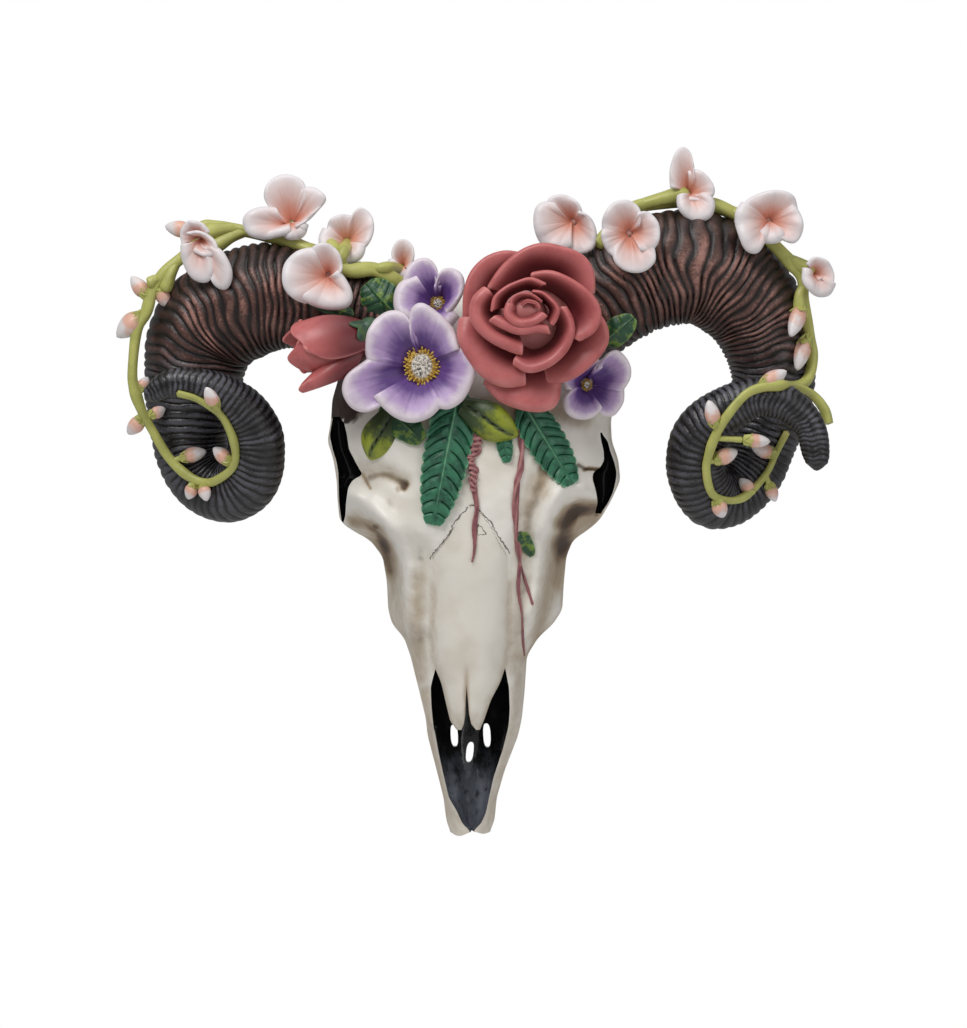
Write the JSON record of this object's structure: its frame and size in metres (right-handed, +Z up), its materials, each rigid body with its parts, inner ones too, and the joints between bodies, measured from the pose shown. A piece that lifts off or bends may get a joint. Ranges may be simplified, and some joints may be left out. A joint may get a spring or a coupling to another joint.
{
  "type": "resin wall ornament of a ram skull with flowers",
  "caption": "Painted resin ram skull wall ornament with curled ridged horns, flowers, leaves and vines; flat back hangs against a wall.",
  "frame": {"origin": "middle of the skull's flat back, on the plane of the wall, level with the brow", "axes": "+Z up, +X to the viewer's right, +Y into the wall; the face looks along -Y"},
  "size_m": [0.3131, 0.1036, 0.3011],
  "materials": {
    "bone": "painted resin, aged bone with brown washes",
    "horn": "painted resin, red brown to charcoal with dry brushed ridges",
    "rose_petal": "painted resin, satin",
    "anemone_petal": "painted resin, satin",
    "blossom_petal": "painted resin, satin",
    "leaf": "painted resin, satin",
    "olive_bud": "painted resin, satin",
    "root": "painted resin, satin",
    "vine": "painted resin, satin"
  },
  "bodies": {
    "root": {"cranium": "bone", "upper_jaw": "bone", "nasal_bones": "bone", "horn_left_base": "horn", "horn_left_arch": "horn", "horn_left_drop": "horn", "horn_left_curl": "horn", "horn_left_tip": "horn", "horn_right_base": "horn", "horn_right_arch": "horn", "horn_right_drop": "horn", "horn_right_curl": "horn", "horn_right_tip": "horn", "rose": "rose_petal", "rose_bud": "rose_petal", "bud_calyx": "leaf", "anemone_large": "anemone_petal", "anemone_top": "anemone_petal", "anemone_right": "anemone_petal", "bud_brow": "olive_bud", "bud_centre": "olive_bud", "fern_left": "leaf", "fern_right": "leaf", "fern_small": "leaf", "leaf_bud": "leaf", "leaf_rose": "leaf", "leaf_thin": "leaf", "root_left": "root", "root_right": "root", "vine_left": "vine", "vine_right": "vine", "blossom_left_1": "blossom_petal", "blossom_left_2": "blossom_petal", "blossom_left_3": "blossom_petal", "blossom_left_4": "blossom_petal", "blossom_left_5": "blossom_petal", "blossom_right_1": "blossom_petal", "blossom_right_2": "blossom_petal", "blossom_right_3": "blossom_petal", "blossom_right_4": "blossom_petal", "blossom_right_5": "blossom_petal"}
  },
  "joints": []
}
